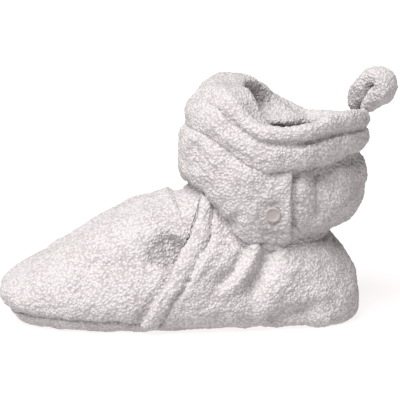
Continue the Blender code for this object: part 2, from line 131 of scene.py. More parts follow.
def half_ring(ring, angle, far):
    """One side of a ring round the foot, from toe (angle 0) to heel (angle pi)."""
    front_x = TOE_X + ring["toe_gap"]
    back_x = HEEL_X - ring["heel_gap"]
    along, across = np.cos(angle), np.sin(angle)
    corner = ring["toe"] + (ring["heel"] - ring["toe"]) * (1 - along) / 2
    x = (front_x + back_x) / 2 - (back_x - front_x) / 2 * np.sign(along) * np.abs(along) ** corner
    half_width = HALF_BALL - ring["width_gap"]
    y = half_width * across**corner
    narrowing = ring.get("waist", 0.0) / half_width
    y = y * (1 - narrowing * swell(x, WAIST_X, WAIST_REACH))
    drop = ring.get("far_drop", ring["drop"]) if far else ring["drop"]
    low = ring.get("far_low", FRONT_STARTS) if far else FRONT_STARTS
    to_front = smoothstep(low, 0.95, along) ** drop
    to_back = smoothstep(0.0, 1.0, -along)
    z = ring["side"] + (ring["front"] - ring["side"]) * to_front
    z = z + (ring["back"] - ring["side"]) * to_back
    side = 1 if far else -1
    tip = ring.get("lean", 0.0) * smoothstep(LEAN_START, LEAN_END, x) * y / HALF_BALL
    if not far:
        sag = ring.get("dip", 0.0) * smoothstep(0.0, 12.0, y)
        z = z - sag * swell(x, DIP_X, DIP_REACH)
    return np.stack([x, side * y, z - side * tip], axis=-1)


def traced(rings, level, closed=False):
    """One whole ring and how far each of its points lies from the toe, negative on the near side."""
    ring = {name: through(values, np.array(level), closed) for name, values in rings.items()}
    angle = np.linspace(0.0, math.pi, RING_POINTS)
    near = half_ring(ring, angle, False)
    far = half_ring(ring, angle, True)
    points = np.concatenate([near[::-1], far[1:]])
    steps = np.linalg.norm(np.diff(points, axis=0), axis=1)
    run = np.concatenate([[0.0], np.cumsum(steps)])
    return points, run - run[len(near) - 1]


def placed(points, run, wanted):
    """Points of a ring at given distances from the toe."""
    whole = run[-1] - run[0]
    return np.stack([np.interp(wanted, run, points[:, i], period=whole) for i in range(3)], axis=-1)


def whole_rings(rings, levels, columns, closed=False):
    """Rows of points right round the shoe, a row for each level."""
    rows = []
    for level in levels:
        points, run = traced(rings, level, closed)
        near = np.linspace(run[0], 0.0, columns // 2, endpoint=False)
        far = np.linspace(0.0, run[-1], columns - columns // 2, endpoint=False)
        rows.append(placed(points, run, np.concatenate([near, far])))
    return np.array(rows)


def filled_in(rows, under, over):
    """Adds the flat underside and top of a pad: rings drawn in towards its middle."""
    shrink = np.array([1.0, 1.0, 0.0])
    keep = np.array([0.0, 0.0, 1.0])
    below = [rows[0] * (shrink * share + keep) for share in np.linspace(0.02, 1.0, under)[:-1]]
    above = [rows[-1] * (shrink * share + keep) for share in np.linspace(1.0, 0.02, over)[1:]]
    return np.concatenate([below, rows, above])


def skin(name, rows, material, around=True, along=False):
    """A closed mesh from rows of points, closed around or along or both, with its open ends capped."""
    count, columns = rows.shape[:2]
    last_row, last_column = count if along else count - 1, columns if around else columns - 1
    i, j = np.meshgrid(np.arange(last_row), np.arange(last_column))
    above, beside = (i + 1) % count, (j + 1) % columns
    here = [i * columns + j, i * columns + beside, above * columns + beside, above * columns + j]
    faces = np.stack(here, axis=-1).reshape(-1, 4).tolist()
    index = np.arange(count * columns).reshape(count, columns)
    if not along:
        faces += [index[0, ::-1].tolist(), index[-1].tolist()]
    if not around:
        faces += [index[:, 0].tolist(), index[::-1, -1].tolist()]
    mesh = bpy.data.meshes.new(name)
    mesh.from_pydata((rows.reshape(-1, 3) * MM).tolist(), [], faces)
    mesh.update()
    mesh.calc_loop_triangles()
    corners = np.empty(len(mesh.loop_triangles) * 3, np.int32)
    mesh.loop_triangles.foreach_get("vertices", corners)
    if np.linalg.det(rows.reshape(-1, 3)[corners.reshape(-1, 3)]).sum() < 0:
        mesh.flip_normals()
    mesh.materials.append(material)
    mesh.shade_smooth()
    piece = bpy.data.objects.new(name, mesh)
    bpy.context.scene.collection.objects.link(piece)
    return piece


def hashed(cells, salt):
    """A fixed random number from 0 to 1 for each whole-numbered cell."""
    mixed = cells[..., 0] * 374761393 + cells[..., 1] * 668265263 + cells[..., 2] * 1440662683 + salt * 97531
    mixed = (mixed ^ (mixed >> 13)) * 1274126177
    mixed = mixed ^ (mixed >> 16)
    return (mixed & 0xFFFFFF) / 0xFFFFFF


def lumps(points, size, salt):
    """Rounded lumps about this far apart, from 0 between them to 1 on the tallest."""
    at = points / size
    base = np.floor(at).astype(np.int64)
    nearest = np.full(len(points), 9.0)
    tallness = np.zeros(len(points))
    for step in itertools.product((-1, 0, 1), repeat=3):
        cell = base + np.array(step)
        centre = cell + np.stack([hashed(cell, salt + i) for i in range(3)], axis=-1)
        away = np.linalg.norm(at - centre, axis=1)
        nearer = away < nearest
        nearest = np.where(nearer, away, nearest)
        tallness = np.where(nearer, hashed(cell, salt + 3), tallness)
    return np.clip(1 - nearest**1.7, 0, 1) * (0.5 + 0.5 * tallness)


def pile_height(points):
    """Height of the curled pile, 0 to 1: uneven tufts, their rows bent out of line."""
    turned = points[:, [1, 2, 0]]
    bent = points + 0.35 * np.sin(turned * 2.3 + 1.7) + 0.22 * np.sin(turned * 3.9)
    return lumps(bent, TUFT_SPACING, TUFT_SEED)


def unevenness(points):
    """Slow swelling of soft cloth, from about -1 to 1, a centimetre or so from swell to swell."""
    turned = points[:, [1, 2, 0]]
    wave = np.sin(points * 0.55 + 1.3 * np.sin(turned * 0.31)) * np.sin(turned * 0.43 + 0.9)
    return wave.sum(axis=1) / 1.6


def give_pile(piece, depth, nap):
    """Raises the pile along the normals. nap says where it is full (1) and where there is none (0)."""
    mesh = piece.data
    points = np.empty(len(mesh.vertices) * 3, np.float32)
    normals = np.empty(len(mesh.vertices) * 3, np.float32)
    mesh.vertices.foreach_get("co", points)
    mesh.vertex_normals.foreach_get("vector", normals)
    points = points.reshape(-1, 3) / MM
    height = pile_height(points)
    nap = np.broadcast_to(nap, height.shape).astype(np.float32)
    rise = (height - 0.5) * depth + CLOTH_SWELL * unevenness(points)
    points = points + normals.reshape(-1, 3) * (rise * nap)[:, None]
    points[:, 2] = np.maximum(points[:, 2], 0.0)
    mesh.vertices.foreach_set("co", (points * MM).astype(np.float32).ravel())
    # The fleece's colour reads this height to paint shade into the pile's troughs
    pile = (height * nap).astype(np.float32)
    mesh.attributes.new("pile", "FLOAT", "POINT").data.foreach_set("value", pile)
    mesh.update()


def linear(hex_colour):
    """An sRGB hex colour as linear red, green, blue and alpha."""
    parts = [int(hex_colour[i : i + 2], 16) / 255 for i in (1, 3, 5)]
    return (*(p / 12.92 if p <= 0.04045 else ((p + 0.055) / 1.055) ** 2.4 for p in parts), 1.0)


def add(tree, kind, inputs=None, **settings):
    """Adds a node with its settings. An input is given a value, or another node's output."""
    made = tree.nodes.new(kind)
    for name, value in settings.items():
        setattr(made, name, value)
    for socket, value in (inputs or {}).items():
        if isinstance(value, bpy.types.NodeSocket):
            tree.links.new(value, made.inputs[socket])
        else:
            made.inputs[socket].default_value = value
    return made


def textured(name):
    """A new material, its node tree, its surface and the place of each point on the piece."""
    material = bpy.data.materials.new(name)
    material.use_nodes = True
    tree = material.node_tree
    place = add(tree, "ShaderNodeTexCoord").outputs["Object"]
    return material, tree, tree.nodes["Principled BSDF"], place


def noise(tree, place, size, detail=2.0):
    """Noise with swells of about this size in millimetres."""
    return add(tree, "ShaderNodeTexNoise", {"Vector": place, "Scale": 1 / (size * MM), "Detail": detail})


def domes(tree, place, size, edge, top):
    """Rounded domes of about this size in millimetres, falling from the top between two distances
    from their middles."""
    cells = add(tree, "ShaderNodeTexVoronoi", {"Vector": place, "Scale": 1 / (size * MM)}, feature="F1")
    span = {"Value": cells.outputs["Distance"], "From Min": edge[0], "From Max": edge[1]}
    span.update({"To Min": top, "To Max": 0.0})
    return add(tree, "ShaderNodeMapRange", span, interpolation_type="SMOOTHSTEP").outputs[0]


def raised(tree, value, times, base):
    """A value times a number, on top of a base."""
    return add(tree, "ShaderNodeMath", {0: value, 1: times, 2: base}, operation="MULTIPLY_ADD").outputs[0]


def set_normal(tree, surface, height, depth, strength):
    """Bends a surface's normals by a height, its depth in millimetres."""
    bump = add(tree, "ShaderNodeBump", {"Height": height, "Distance": depth * MM, "Strength": strength})
    tree.links.new(bump.outputs["Normal"], surface.inputs["Normal"])


def set_colour(tree, surface, value, dark, light, span=(0.0, 1.0)):
    """Colours a surface from dark to light as the value goes over the span."""
    ramp = add(tree, "ShaderNodeValToRGB", {"Fac": value})
    for element, position, colour in zip(ramp.color_ramp.elements, span, (dark, light)):
        element.position = position
        element.color = linear(colour)
    tree.links.new(ramp.outputs["Color"], surface.inputs["Base Color"])


# The fleece's texture, by the size of each thing in it
KNOT, CURL, FIBRE, PATCH = 0.95, 0.6, 0.35, 9.0
DRIFT, DRIFT_EVERY = 0.25, 2.2
FLEECE_DEPTH = 0.34


def curled_fleece(name, tip, gap_shade):
    """Polyester fleece, brushed and tumbled into tiny curled knots: no shine of its own, rounded
    pale knots with their colour darkened into the gaps between them and the pile's troughs as
    painted shade, a faint glow at grazing angles, and fibres as fine grain."""
    material, tree, surface, place = textured(name)
    drift = noise(tree, place, DRIFT_EVERY, 1.0).outputs["Color"]
    bent = {0: drift, 1: [DRIFT * MM] * 3, 2: place}
    bent = add(tree, "ShaderNodeVectorMath", bent, operation="MULTIPLY_ADD").outputs[0]
    knots = domes(tree, bent, KNOT, (0.05, 0.75), 1.0)
    curls = domes(tree, bent, CURL, (0.1, 0.8), 0.2)
    curled = add(tree, "ShaderNodeMath", {0: knots, 1: curls}, operation="ADD").outputs[0]
    height = raised(tree, noise(tree, place, FIBRE).outputs["Fac"], 0.22, curled)
    # Painted shade: the colour follows the knots and the raised pile, darkest in the gaps and troughs
    # between them
    pile = add(tree, "ShaderNodeAttribute", attribute_name="pile").outputs["Fac"]
    shade = raised(tree, pile, 0.3, height)
    shade = raised(tree, noise(tree, place, PATCH).outputs["Fac"], 0.5, shade)
    set_colour(tree, surface, shade, gap_shade, tip, (0.55, 1.0))
    set_normal(tree, surface, height, FLEECE_DEPTH, 0.8)
    surface.inputs["Roughness"].default_value = 0.95
    surface.inputs["Specular IOR Level"].default_value = 0.1
    surface.inputs["Sheen Weight"].default_value = 0.15
    surface.inputs["Sheen Roughness"].default_value = 0.5
    return material


def interface(tree, **sockets):
    """Gives a tree a mesh to start from and its named inputs, and returns its inputs and its result."""
    tree.interface.new_socket("Geometry", in_out="INPUT", socket_type="NodeSocketGeometry")
    tree.interface.new_socket("Geometry", in_out="OUTPUT", socket_type="NodeSocketGeometry")
    for name, kind in sockets.items():
        tree.interface.new_socket(name.replace("_", " "), in_out="INPUT", socket_type="NodeSocket" + kind)
    return tree.nodes.new("NodeGroupInput").outputs, tree.nodes.new("NodeGroupOutput").inputs


def grown(name, mesh, tree, **values):
    """What a Geometry Nodes tree makes of a mesh, as a plain mesh in an object of its own."""
    piece = bpy.data.objects.new(name, mesh)
    bpy.context.scene.collection.objects.link(piece)
    modifier = piece.modifiers.new(name, "NODES")
    modifier.node_group = tree
    for item in tree.interface.items_tree:
        if item.in_out == "INPUT" and item.name.replace(" ", "_") in values:
            modifier[item.identifier] = values[item.name.replace(" ", "_")]
    result = bpy.data.meshes.new_from_object(piece.evaluated_get(bpy.context.evaluated_depsgraph_get()))
    piece.modifiers.remove(modifier)
    piece.data = result
    result.name = name
    return piece


def fit(piece, node):
    """The piece goes with the shoe and stands for a solid, which it hides."""
    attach(piece, "root")
    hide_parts(node)


# The fleece's own colour, and a darker one for the painted shade in the gaps between its knots
outer_fleece = curled_fleece("outer_curled_fleece", "#C2BEBE", "#A6A1A1")

# Pressed flat where the shoe stands on it, and bare where it is turned in under the insole
sole_levels = np.concatenate([np.linspace(0, 3, 20), np.linspace(3, 5, 7)[1:]])
sole_rows = whole_rings(SOLE_RINGS, sole_levels, SOLE_COLUMNS)
sole_rows = filled_in(sole_rows, UNDER_RINGS, OVER_RINGS)
sole = skin("sole_fleece", sole_rows, outer_fleece)
sole_nap = np.ones(sole_rows.shape[:2])
sole_nap[: UNDER_RINGS - 1] = PRESSED_PILE
sole_nap[1 - OVER_RINGS - TURNED_IN_ROWS :] = 0.0
give_pile(sole, SHORT_PILE, sole_nap.ravel())
fit(sole, "sole")

# Insole
# A loose oval of lining fleece lying in the sole, seen only down through the leg opening.
INSOLE_RINGS = table(
    "toe_gap heel_gap width_gap front side back drop toe heel waist",
    (10.4, 11.0, 9.6, 3.35, 3.35, 3.35, 1.0, 0.74, 0.60, 1.6),
    (9.6, 10.2, 8.8, 4.25, 4.25, 4.25, 1.0, 0.74, 0.60, 1.6),
    (9.6, 10.2, 8.8, 4.85, 4.85, 4.85, 1.0, 0.74, 0.60, 1.6),
    (10.6, 11.2, 9.8, 5.35, 5.35, 5.35, 1.0, 0.74, 0.60, 1.6),
)
INSOLE_COLUMNS = 220
INSOLE_UNDER_RINGS = 4
INSOLE_OVER_RINGS = 30
# The lining's own colour, and a darker one for the painted shade in the gaps between its knots
lining_fleece = curled_fleece("lining_curled_fleece", "#CCC9C8", "#B0ABAB")
insole_rows = whole_rings(INSOLE_RINGS, np.linspace(0, 3, 7), INSOLE_COLUMNS)
insole_rows = filled_in(insole_rows, INSOLE_UNDER_RINGS, INSOLE_OVER_RINGS)
insole = skin("insole_fleece", insole_rows, lining_fleece)
# Bare underneath, where it lies on the sole
insole_nap = np.ones(insole_rows.shape[:2])
insole_nap[: INSOLE_UNDER_RINGS + 2] = 0.0
give_pile(insole, LINING_PILE, insole_nap.ravel())
fit(insole, "insole")

# Vamp
# The fleece over the toes, drawn in along the sole seam, with a soft hollow where the foot would
# fill it. Its back edge runs a few millimetres under the side panel.
UPPER_RINGS = table(
    "toe_gap heel_gap width_gap front side back drop toe heel waist",
    (4.8, 5.4, 4.0, 5.6, 3.7, 2.6, 0.08, 0.74, 0.60, 1.6),
    (2.0, 2.0, 1.8, 5.4, 3.4, 1.2, 0.12, 0.74, 0.58, 1.0),
    (0.2, 0.2, 0.5, 7.6, 6.0, 3.6, 1.0, 0.74, 0.60, 0.4),
    (0.3, 0.0, 0.0, 11.2, 10.2, 8.8, 1.0, 0.76, 0.66, 0.0),
    (4.0, 0.9, 0.3, 15.2, 14.4, 14.0, 1.0, 0.78, 0.74, 0.0),
    (10.8, 2.8, 1.1, 19.4, 18.6, 18.2, 1.0, 0.80, 0.80, 0.0),
    (19.4, 5.0, 2.3, 24.6, 22.4, 21.6, 1.0, 0.84, 0.86, 0.0),
    (29.0, 6.8, 3.8, 30.9, 24.8, 24.2, 1.1, 0.88, 0.92, 0.0),
    (39.6, 8.2, 5.3, 36.3, 26.0, 25.8, 1.1, 0.92, 0.96, 0.0),
    (50.8, 9.0, 6.6, 40.0, 26.6, 26.8, 1.2, 0.96, 1.00, 0.0),
    (62.4, 9.2, 7.4, 43.4, 26.8, 27.4, 1.2, 1.00, 1.00, 0.0),
)
WELT_LINE = table(
    "z x",
    (2.0, -14.0),
    (7.0, -11.6),
    (11.5, -9.2),
    (14.5, -6.6),
    (19.0, -3.8),
    (23.5, -1.7),
    (27.5, 1.0),
    (31.0, 3.5),
    (36.0, 5.6),
    (44.0, 7.6),
)
UPPER_TOP = 10.0
VAMP_UNDERLAP = 5.0
VAMP_THICKNESS = 1.5
VAMP_SUNK = 0.5
VAMP_GATHERS = 0.35
VAMP_POINTS = 121
VAMP_STEP = 0.5
# Folds: side (-1 near, 1 far, 0 both), height, half width, how much of each end fades out, and the
# path seen from the side as (x, z) points
VAMP_FOLDS = (
    (0, -4.6, 6.0, 0.2, 0.2, ((1.2, 29.5), (-1.8, 25.0), (-4.8, 20.0))),
    (0, -1.8, 4.0, 0.0, 0.6, ((-4, 25.5), (-10, 24), (-16, 22))),
    (0, -1.4, 3.4, 0.2, 0.3, ((-13.0, 22.0), (-22, 20.5), (-28, 19.5))),
    (0, -2.0, 3.6, 0.0, 0.4, ((2.6, 41), (-2.5, 39))),
    (0, -0.9, 6.0, 0.5, 0.5, ((-36, 17), (-28, 20), (-21, 19))),
    (0, 0.8, 4.0, 0.3, 0.5, ((-5.0, 30), (-14, 29), (-24, 25))),
)


def normals_of(rows, around=False, along=False):
    """Unit normals of rows of points, pointing away from their middle."""
    if around:
        across = np.roll(rows, -1, axis=1) - np.roll(rows, 1, axis=1)
    else:
        across = np.gradient(rows, axis=1)
    if along:
        up = np.roll(rows, -1, axis=0) - np.roll(rows, 1, axis=0)
    else:
        up = np.gradient(rows, axis=0)
    normal = np.cross(across, up)
    normal = normal / np.maximum(np.linalg.norm(normal, axis=-1, keepdims=True), 1e-9)
    return normal * np.sign(((rows - rows.mean(axis=(0, 1))) * normal).sum())


def path_distance(points, path):
    """Distance in the side view from each point to a path, and how far along it the nearest place is."""
    flat = points[..., [0, 2]]
    path = np.array(path, float)
    lengths = np.linalg.norm(np.diff(path, axis=0), axis=1)
    before = np.concatenate([[0.0], np.cumsum(lengths)])
    best = np.full(flat.shape[:-1], 1e9)
    place = np.zeros(flat.shape[:-1])
    for i, length in enumerate(lengths):
        direction = (path[i + 1] - path[i]) / length
        t = np.clip((flat - path[i]) @ direction, 0, length)
        away = np.linalg.norm(flat - path[i] - t[..., None] * direction, axis=-1)
        nearer = away < best
        best = np.where(nearer, away, best)
        place = np.where(nearer, (before[i] + t) / before[-1], place)
    return best, place


def folded(points, folds):
    """Height of all folds at each point."""
    height = np.zeros(points.shape[:-1])
    for side, rise, half_width, fade_in, fade_out, path in folds:
        away, place = path_distance(points, path)
        shape = rise * swell(away, 0.0, half_width)
        shape = shape * smoothstep(-0.01, fade_in + 0.01, place) * smoothstep(1.01, 0.99 - fade_out, place)
        if side:
            shape = shape * smoothstep(0.0, 4.0, points[..., 1] * side)
        height += shape
    return height


def even_rows(row_at, last, step):
    """Rows made at levels from 0 to last, no further apart than a step anywhere along them."""
    tried = np.linspace(0.0, last, 100)
    rough = np.array([row_at(level)[0] for level in tried])
    apart = np.linalg.norm(np.diff(rough, axis=0), axis=-1).max(axis=1)
    run = np.concatenate([[0.0], np.cumsum(apart)])
    levels = np.interp(np.linspace(0.0, run[-1], int(run[-1] / step) + 1), run, tried)
    made = [row_at(level) for level in levels]
    return [levels] + [np.array(column) for column in zip(*made)]


def climbed(rows):
    """How far each point lies up its column from the first row."""
    steps = np.linalg.norm(np.diff(rows, axis=0), axis=-1)
    return np.concatenate([np.zeros((1, rows.shape[1])), np.cumsum(steps, axis=0)])


def crossing(points, run, line, far):
    """How far from the toe a ring crosses a line drawn in the side view, on one side of the shoe."""
    side = np.flatnonzero(run >= 0) if far else np.flatnonzero(run <= 0)[::-1]
    behind = points[side, 0] - np.interp(points[side, 2], line["z"], line["x"])
    away = np.abs(run[side])
    k = max(int(np.argmax(behind > 0)), 1)
    return away[k - 1] - behind[k - 1] * (away[k] - away[k - 1]) / (behind[k] - behind[k - 1])


def seam_draw(points, away, reach):
    """Little gathers along a sewn edge, deepest at the seam."""
    along = points[..., 0] + 0.6 * points[..., 1]
    wave = np.sin(along * 1.35 + 1.1 * np.sin(along * 0.37)) * 0.6 + np.sin(along * 0.73 + 2.0) * 0.4
    return wave * np.exp(-away / reach)


def vamp_row(level):
    """A row over the toes from the near underlap to the far one, and how far behind the panel's edge."""
    points, run = traced(UPPER_RINGS, level)
    near = crossing(points, run, WELT_LINE, False) + VAMP_UNDERLAP
    far = crossing(points, run, WELT_LINE, True) + VAMP_UNDERLAP
    wanted = np.concatenate([np.linspace(-near, 0, VAMP_POINTS)[:-1], np.linspace(0, far, VAMP_POINTS)])
    return placed(points, run, wanted), np.where(wanted < 0, -wanted - near, wanted - far) + VAMP_UNDERLAP


def sheet(name, outer, inner, nap, node):
    """A strip of the outer fleece from its two faces, with pile on the outer one only."""
    piece = skin(name, np.concatenate([outer, inner[::-1]]), outer_fleece, around=False, along=True)
    nap = np.concatenate([nap * np.ones(outer.shape[:2]), np.zeros(inner.shape[:2])])
    give_pile(piece, PILE_DEPTH, nap.ravel())
    fit(piece, node)


# The relief fades out at the sole and the ankle, and sinks where the panel lies over it
_, vamp_rows, vamp_behind = even_rows(vamp_row, UPPER_TOP, VAMP_STEP)
vamp_normals = normals_of(vamp_rows)
from_sole = climbed(vamp_rows)
to_ankle = from_sole[-1] - from_sole
vamp_relief = folded(vamp_rows, VAMP_FOLDS)
vamp_relief = vamp_relief * smoothstep(0.0, 7.0, from_sole) * smoothstep(0.0, 2.5, to_ankle)
vamp_relief += VAMP_GATHERS * seam_draw(vamp_rows, from_sole, 3.5)
vamp_relief -= VAMP_SUNK * swell(vamp_behind, -1.0, 1.5) + VAMP_SUNK * smoothstep(-0.6, 1.2, vamp_behind)
vamp_outer = vamp_rows + vamp_normals * vamp_relief[..., None]
vamp_depth = np.minimum(vamp_relief, 0) - VAMP_THICKNESS
vamp_inner = (vamp_rows + vamp_normals * vamp_depth[..., None])[::10]
sheet("vamp", vamp_outer, vamp_inner, smoothstep(2.0, 0.0, vamp_behind), "upper")

# Side and heel panel
# One strip of fleece from the near side round the heel to the far side. Its front edges are turned
# under and topstitched over the vamp, and the ankle elastic gathers its top into soft pleats.
PANEL_FOLDS = (
    (0, 1.1, 2.0, 0.1, 0.3, ((14, 29), (9, 25), (3, 19.5), (-1, 14))),
    (0, -2.2, 2.0, 0.0, 0.4, ((20.5, 27), (16.5, 20.5), (11.0, 16.5), (8.5, 13.5))),
    (0, 1.2, 2.2, 0.0, 0.4, ((24, 27), (20.2, 22), (16, 17), (11.5, 12))),
    (0, -3.4, 2.8, 0.0, 0.4, ((29.0, 26.5), (25.5, 19), (22.0, 15), (18.5, 10.5))),
    (0, 0.8, 2.4, 0.0, 0.4, ((30, 25), (28, 20), (24, 14))),
    (0, 0.9, 4.0, 0.3, 0.4, ((33, 23), (32, 15), (28, 9))),
    (0, -2.4, 3.2, 0.1, 0.4, ((26.5, 3.0), (33.0, 5.0), (40.5, 6.6), (47, 8.0))),
)
# Section through the turned front edge: how far behind the edge, and its outer and inner face
WELT_SECTION = table(
    "behind outer inner",
    (-0.55, 0.10, -1.00),
    (-0.50, 0.70, -1.05),
    (-0.30, 1.20, -1.05),
    (0.00, 1.60, -0.90),
    (0.60, 1.95, -0.60),
    (1.60, 2.20, -0.30),
    (3.00, 2.25, -0.30),
    (4.40, 1.95, -0.30),
    (5.40, 1.35, -0.30),
    (6.00, 1.05, -0.60),
    (7.00, 1.25, -1.00),
    (8.50, 1.45, -1.30),
    (12.0, 1.30, -1.40),
)
EDGE_WIDTH = 12.0
ANKLE_GATHERS, SOLE_GATHERS = 0.5, 0.3
PANEL_POINTS = 240
PANEL_STEP = 0.55
STITCH_BEHIND = 6.0
STITCH_PUCKER = 4.0
edge_steps = np.concatenate([WELT_SECTION["behind"][:3], np.arange(0.0, EDGE_WIDTH, 0.45)])


def panel_row(level):
    """A row from the near front edge round the heel to the far one, and how far behind an edge."""
    points, run = traced(UPPER_RINGS, level)
    near = crossing(points, run, WELT_LINE, False)
    far = crossing(points, run, WELT_LINE, True)
    whole = run[-1] - run[0] - near - far
    middle = np.linspace(EDGE_WIDTH, whole - EDGE_WIDTH, PANEL_POINTS)
    steps = np.concatenate([edge_steps, middle, whole - edge_steps[::-1]])
    return placed(points, run, -near - steps), np.minimum(steps, whole - steps)


# Folds, gathers along both seams and the stitches' pucker, on top of the turned edge's section
_, panel_rows, panel_edge = even_rows(panel_row, UPPER_TOP, PANEL_STEP)
panel_normals = normals_of(panel_rows)
panel_climb = climbed(panel_rows)
panel_left = panel_climb[-1] - panel_climb
panel_relief = folded(panel_rows, PANEL_FOLDS) * smoothstep(3.0, 8.0, panel_edge)
panel_relief += ANKLE_GATHERS * seam_draw(panel_rows, panel_left, 4.0) * smoothstep(2.0, 6.0, panel_edge)
panel_relief += SOLE_GATHERS * seam_draw(panel_rows, panel_climb, 2.5)
panel_relief = panel_relief * smoothstep(0.0, 3.0, panel_climb)
panel_relief = panel_relief * (0.35 + 0.65 * smoothstep(0.0, 4.0, panel_left))
pucker = 0.5 + 0.5 * np.cos(2 * math.pi * panel_climb / STITCH_PUCKER)
panel_relief -= (0.25 + 0.5 * pucker) * swell(panel_edge, STITCH_BEHIND, 0.9)
section = np.interp(panel_edge, WELT_SECTION["behind"], WELT_SECTION["outer"])
section = section * (0.45 + 0.55 * smoothstep(0.0, 3.5, panel_climb))
section = section * (0.4 + 0.6 * smoothstep(0.0, 3.0, panel_left))
panel_outer = panel_rows + panel_normals * (panel_relief + section)[..., None]
underside = np.interp(panel_edge, WELT_SECTION["behind"], WELT_SECTION["inner"])
underside += np.minimum(folded(panel_rows, VAMP_FOLDS), 0.0) * smoothstep(5.0, 2.0, panel_edge)
panel_depth = np.minimum(panel_relief, 0) + underside
panel_inner = (panel_rows + panel_normals * panel_depth[..., None])[::6]
sheet("side_panel", panel_outer, panel_inner, 1.0, "upper")

# Topstitching
# The thread that holds the panel's turned edge down, in stitches that sink into the pile.
STITCH_PITCH = 2.6
STITCH_LENGTH = 1.7
THREAD_RADIUS = 0.28
THREAD_SUNK = 0.1
CLEAR_OF_SOLE, CLEAR_OF_ANKLE = 2.5, 2.0


def stitch_tree():
    """Geometry Nodes: rounded stitches at an even pitch along a line."""
    tree = bpy.data.node_groups.new("stitches", "GeometryNodeTree")
    sizes = {"Pitch": "Float", "Length": "Float", "Thread_Radius": "Float"}
    given, result = interface(tree, **sizes, Material="Material")
    line = add(tree, "GeometryNodeMeshToCurve", {"Mesh": given["Geometry"]}).outputs["Curve"]
    line = {"Curve": line, "Length": given["Pitch"]}
    places = add(tree, "GeometryNodeCurveToPoints", line, mode="LENGTH").outputs
    bead = add(tree, "GeometryNodeMeshUVSphere", {"Segments": 10, "Rings": 8, "Radius": 1.0})
    half = add(tree, "ShaderNodeMath", {0: given["Length"], 1: 0.5}, operation="MULTIPLY").outputs[0]
    size = {"X": given["Thread Radius"], "Y": given["Thread Radius"], "Z": half}
    size = add(tree, "ShaderNodeCombineXYZ", size).outputs["Vector"]
    where = {"Points": places["Points"], "Rotation": places["Rotation"]}
    what = {"Instance": bead.outputs["Mesh"], "Scale": size}
    shown = add(tree, "GeometryNodeInstanceOnPoints", {**where, **what}).outputs["Instances"]
    shown = add(tree, "GeometryNodeRealizeInstances", {"Geometry": shown}).outputs["Geometry"]
    shown = add(tree, "GeometryNodeSetShadeSmooth", {"Geometry": shown}).outputs["Geometry"]
    shown = add(tree, "GeometryNodeSetMaterial", {"Geometry": shown, "Material": given["Material"]})
    tree.links.new(shown.outputs["Geometry"], result["Geometry"])
    return tree


def sewing_thread(name, colour):
    """Spun polyester thread: soft, hardly any shine, its twist as a fine bump."""
    material, tree, surface, place = textured(name)
    set_normal(tree, surface, noise(tree, place, 0.2).outputs["Fac"], 0.05, 0.6)
    surface.inputs["Base Color"].default_value = linear(colour)
    surface.inputs["Roughness"].default_value = 0.8
    surface.inputs["Specular IOR Level"].default_value = 0.2
    return material


STITCHES = stitch_tree()
panel_thread = sewing_thread("polyester_thread", "#9C9493")
stitch_column = int(np.argmin(np.abs(edge_steps - STITCH_BEHIND)))
for side_name, column in (("near", stitch_column), ("far", -1 - stitch_column)):
    seam = (panel_outer - panel_normals * THREAD_SUNK)[:, column]
    kept = (panel_climb[:, column] > CLEAR_OF_SOLE) & (panel_left[:, column] > CLEAR_OF_ANKLE)
    seam = seam[kept]
    line_mesh = bpy.data.meshes.new("topstitch_line_" + side_name)
    line_mesh.from_pydata((seam * MM).tolist(), [(k, k + 1) for k in range(len(seam) - 1)], [])
    topstitch = grown(
        "topstitching_" + side_name,
        line_mesh,
        STITCHES,
        Pitch=STITCH_PITCH * MM,
        Length=STITCH_LENGTH * MM,
        Thread_Radius=THREAD_RADIUS * MM,
        Material=panel_thread,
    )
    fit(topstitch, "upper")

# Sole seam
# Where the upper is sewn to the sole, its two edges turned in: a soft roll at the bottom of the seam.
ROLL_POINTS = 400
ROLL_SIDES = 14


def seam_roll(name, level, inset, lift, radius, node):
    """A round roll of fleece along a ring of the upper, set in from it and lifted a little."""
    points, run = traced(UPPER_RINGS, level)
    line = placed(points, run, np.linspace(run[0], run[-1], ROLL_POINTS, endpoint=False))
    way = (line.mean(axis=0) - line) * (1, 1, 0)
    way = way / np.linalg.norm(way, axis=1, keepdims=True)
    turn = np.linspace(0, 2 * math.pi, ROLL_SIDES, endpoint=False)[:, None]
    round_section = np.cos(turn) * way[:, None] + np.sin(turn) * np.array([0.0, 0.0, 1.0])
    middle = line + way * inset + (0.0, 0.0, lift)
    roll = skin(name, middle[:, None] + radius * round_section, outer_fleece, around=True, along=True)
    give_pile(roll, SEAM_PILE, 1.0)
    fit(roll, node)


seam_roll("sole_seam_roll", level=0.5, inset=0.9, lift=0.2, radius=1.3, node="upper")

# Foot lining
# Fleece facing the foot, sewn in with the upper's seams.
WALL = 2.5
LINING_THICKNESS = 0.25


def inward(rows, normals, share, near_bottom, near_top):
    """Direction from the outer face to the inner one: against the normal, level near the seams."""
    middle_x = (rows[..., 0].min(axis=1) + rows[..., 0].max(axis=1)) / 2
    middle = np.stack([middle_x, 0 * middle_x, 0 * middle_x], axis=-1)[:, None, :]
    flat = (middle - rows) * (1, 1, 0)
    flat = flat / np.linalg.norm(flat, axis=-1, keepdims=True)
    level = np.maximum(smoothstep(near_bottom, 0.0, share), smoothstep(1 - near_top, 1.0, share))
    direction = -normals * (1 - level[..., None]) + flat * level[..., None]
    return direction / np.linalg.norm(direction, axis=-1, keepdims=True)


